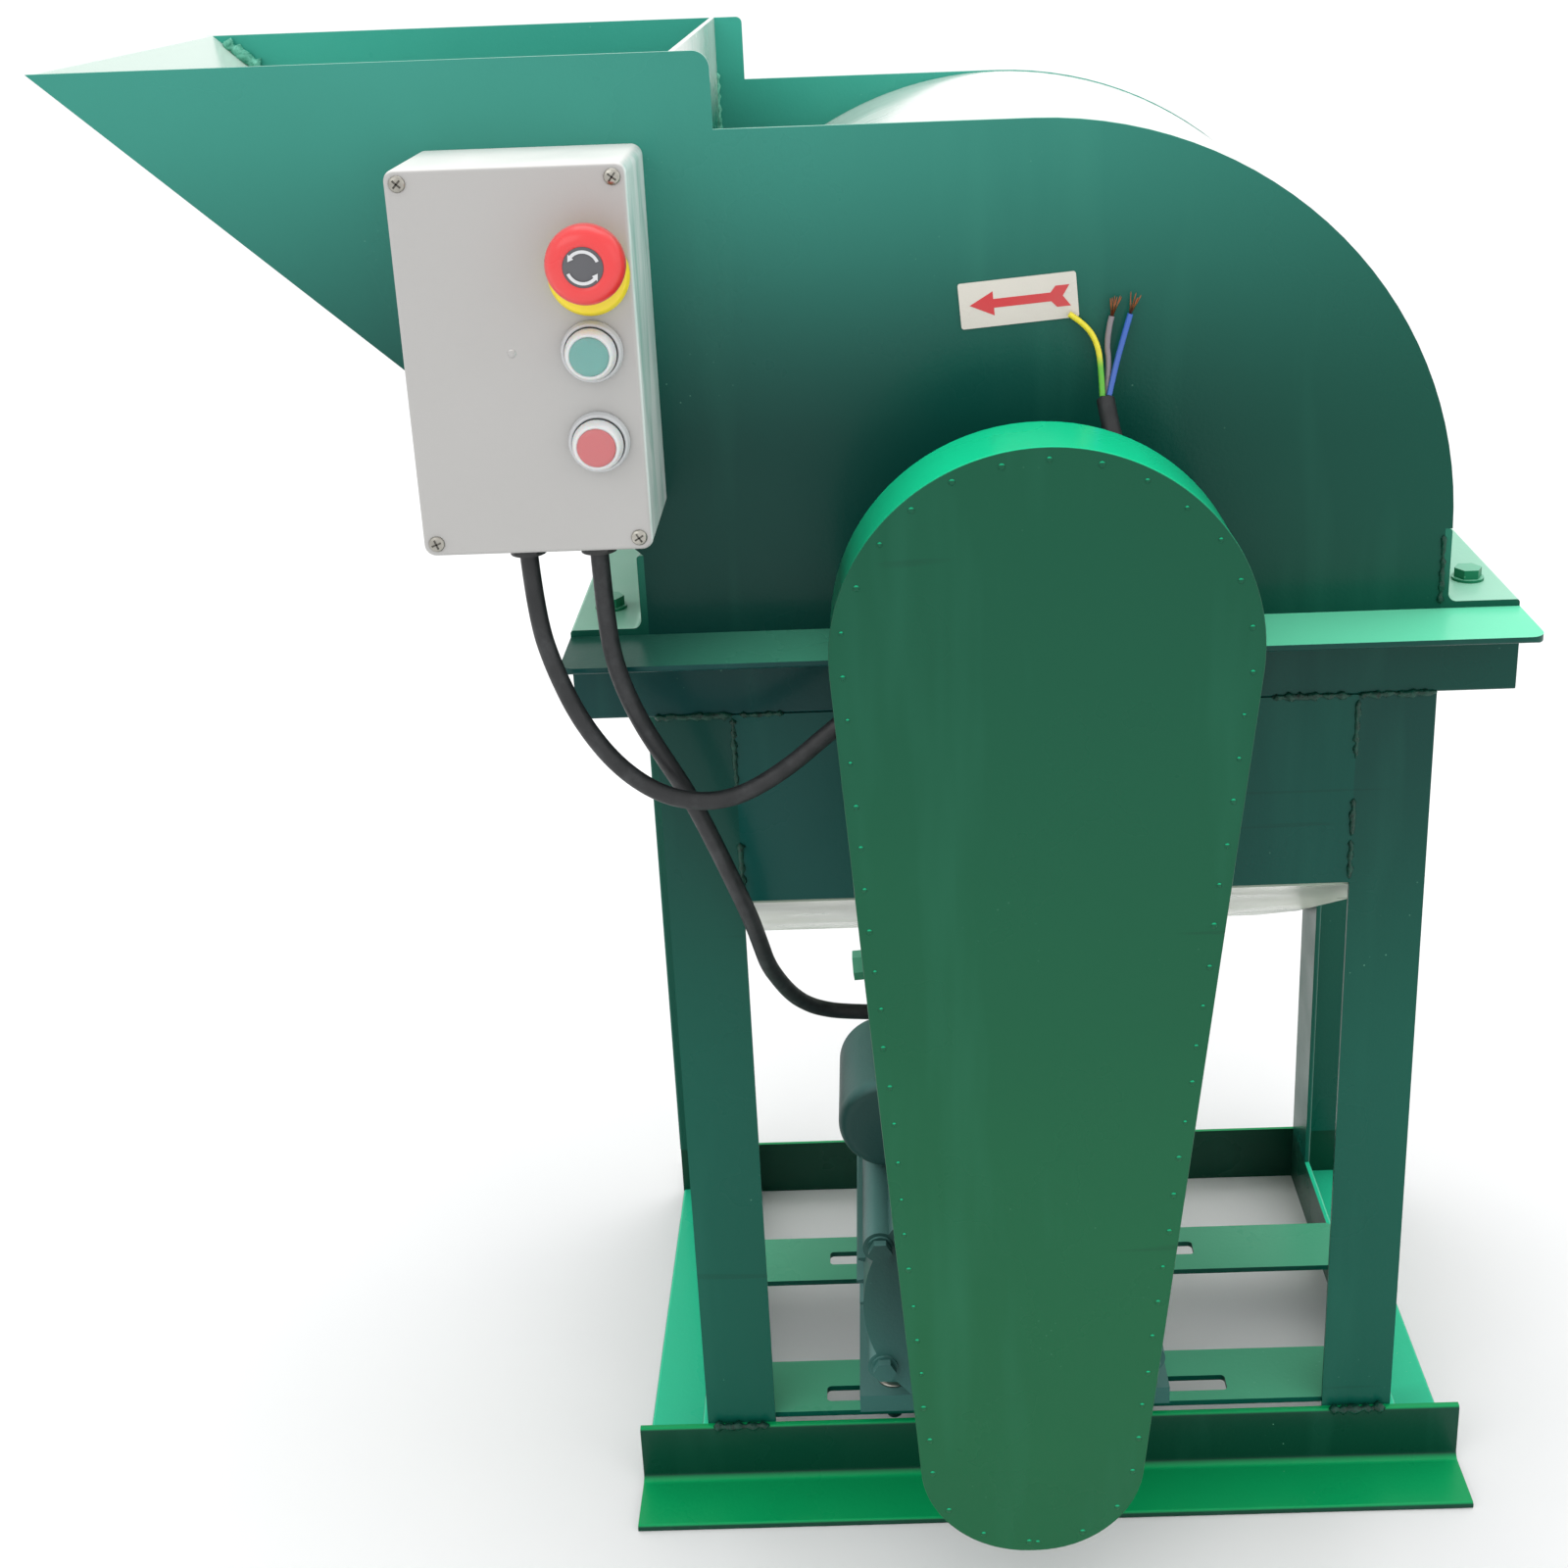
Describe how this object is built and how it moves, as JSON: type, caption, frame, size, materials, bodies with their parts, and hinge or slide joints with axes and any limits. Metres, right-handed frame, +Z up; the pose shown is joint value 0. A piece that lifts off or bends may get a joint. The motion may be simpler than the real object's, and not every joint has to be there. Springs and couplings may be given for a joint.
{
  "type": "hammer mill",
  "caption": "Belt-driven hammer mill with side hopper, rounded hood, guarded drive, motor and control box on an angle-iron stand.",
  "frame": {"origin": "on the floor under the middle of the machine's overall box, leads left out", "axes": "+X towards the rounded end of the hood, +Y to the back, +Z up"},
  "size_m": [0.8, 0.479, 0.926],
  "materials": {
    "frame_paint": "semi-gloss",
    "chute_paint": "semi-gloss",
    "screen_steel": "worn",
    "hood_paint": "gloss",
    "arrow_white": "gloss",
    "bearing_paint": "painted",
    "bearing_steel": "ground",
    "zinc": "zinc plated",
    "belt_rubber": "matt",
    "guard_paint": "gloss",
    "motor_paint": "semi-gloss",
    "box_plastic": "fine texture",
    "gland_plastic": "matt",
    "collar_plastic": "matt",
    "black_plastic": "matt",
    "cord_sheath": "matt",
    "core_insulation": "gloss",
    "steel": "turned",
    "rotor_steel": "mill finish",
    "pulley_iron": "turned",
    "hammer_steel": "hardened",
    "estop_red": "gloss",
    "stem_plastic": "matt",
    "start_green": "translucent boot",
    "stop_red": "translucent boot"
  },
  "bodies": {
    "frame": {"base_long_rails": "frame_paint", "base_side_rails": "frame_paint", "leg_front_left": "frame_paint", "leg_front_right": "frame_paint", "leg_rear_left": "frame_paint", "leg_rear_right": "frame_paint", "top_long_rails": "frame_paint", "top_side_rails": "frame_paint", "motor_bars": "frame_paint", "chute_front_plate": "chute_paint", "chute_rear_plate": "chute_paint", "chute_sides": "chute_paint", "discharge_floor": "chute_paint", "screen": "screen_steel", "hood_side_front": "hood_paint", "hood_side_rear": "hood_paint", "shaft_strips": "hood_paint", "hood_wrap": "hood_paint", "hopper_cross_plate": "hood_paint", "hopper_floor": "hood_paint", "hood_end_angles": "hood_paint", "arrow_plate": "arrow_white", "bearing_housings": "bearing_paint", "bearing_outer_rings": "bearing_steel", "drive_belts": "belt_rubber", "guard_cover": "guard_paint", "guard_band": "guard_paint", "guard_brackets": "guard_paint", "stand_bolts": "zinc", "motor_body": "motor_paint", "motor_end_shields": "motor_paint", "motor_fan_cover": "motor_paint", "motor_capacitors": "motor_paint", "motor_terminal_box": "motor_paint", "motor_bolts": "zinc", "control_box_base": "box_plastic", "control_box_lid": "box_plastic", "control_box_screws": "zinc", "cable_glands": "gland_plastic", "button_collars": "collar_plastic", "contactor": "black_plastic", "supply_lead": "cord_sheath", "motor_lead": "cord_sheath", "supply_lead_cores": "core_insulation"},
    "rotor": {"rotor_shaft": "steel", "rotor_discs": "rotor_steel", "hammer_pins": "steel", "rotor_pulley": "pulley_iron", "bearing_inner_rings": "bearing_steel"},
    "hammers_1": {"hammer_row_1": "hammer_steel"},
    "hammers_2": {"hammer_row_2": "hammer_steel"},
    "hammers_3": {"hammer_row_3": "hammer_steel"},
    "hammers_4": {"hammer_row_4": "hammer_steel"},
    "motor_rotor": {"motor_shaft": "steel", "motor_pulley": "pulley_iron", "motor_fan": "black_plastic"},
    "estop_slider": {"estop_stem": "stem_plastic"},
    "estop_knob": {"estop_head": "estop_red"},
    "start": {"start_button": "start_green"},
    "stop": {"stop_button": "stop_red"}
  },
  "joints": [
    {"name": "rotor_spin", "type": "hinge", "parent": "frame", "child": "rotor", "pos_m": [0.125, 0, 0.6516], "axis": [0, 1, 0], "continuous": true},
    {"name": "motor_spin", "type": "hinge", "parent": "frame", "child": "motor_rotor", "pos_m": [0.107, 0, 0.149], "axis": [0, 1, 0], "continuous": true},
    {"name": "hammer_row_1_swing", "type": "hinge", "parent": "rotor", "child": "hammers_1", "pos_m": [0.19218, 0, 0.71878], "axis": [0, 1, 0], "range_deg": [-285, 10]},
    {"name": "hammer_row_2_swing", "type": "hinge", "parent": "rotor", "child": "hammers_2", "pos_m": [0.05783, 0, 0.71878], "axis": [0, 1, 0], "range_deg": [-10, 285]},
    {"name": "hammer_row_3_swing", "type": "hinge", "parent": "rotor", "child": "hammers_3", "pos_m": [0.05783, 0, 0.58442], "axis": [0, 1, 0], "range_deg": [-100, 190]},
    {"name": "hammer_row_4_swing", "type": "hinge", "parent": "rotor", "child": "hammers_4", "pos_m": [0.19218, 0, 0.58442], "axis": [0, 1, 0], "range_deg": [-190, 100]},
    {"name": "estop_press", "type": "slide", "parent": "frame", "child": "estop_slider", "axis": [0, 1, 0], "range_m": [0, 0.004], "stiffness_N_per_m": 800, "springref_m": -0.002},
    {"name": "estop_twist", "type": "hinge", "parent": "estop_slider", "child": "estop_knob", "pos_m": [-0.102, 0, 0.834], "axis": [0, -1, 0], "range_deg": [-45, 0], "stiffness_Nm_per_rad": 0.05, "springref_deg": 11.46},
    {"name": "start_press", "type": "slide", "parent": "frame", "child": "start", "axis": [0, 1, 0], "range_m": [0, 0.004], "stiffness_N_per_m": 600, "springref_m": -0.002},
    {"name": "stop_press", "type": "slide", "parent": "frame", "child": "stop", "axis": [0, 1, 0], "range_m": [0, 0.004], "stiffness_N_per_m": 600, "springref_m": -0.002}
  ],
  "couplings": [
    {"joint": "motor_spin", "follows": "rotor_spin", "ratio": 1.3393}
  ]
}
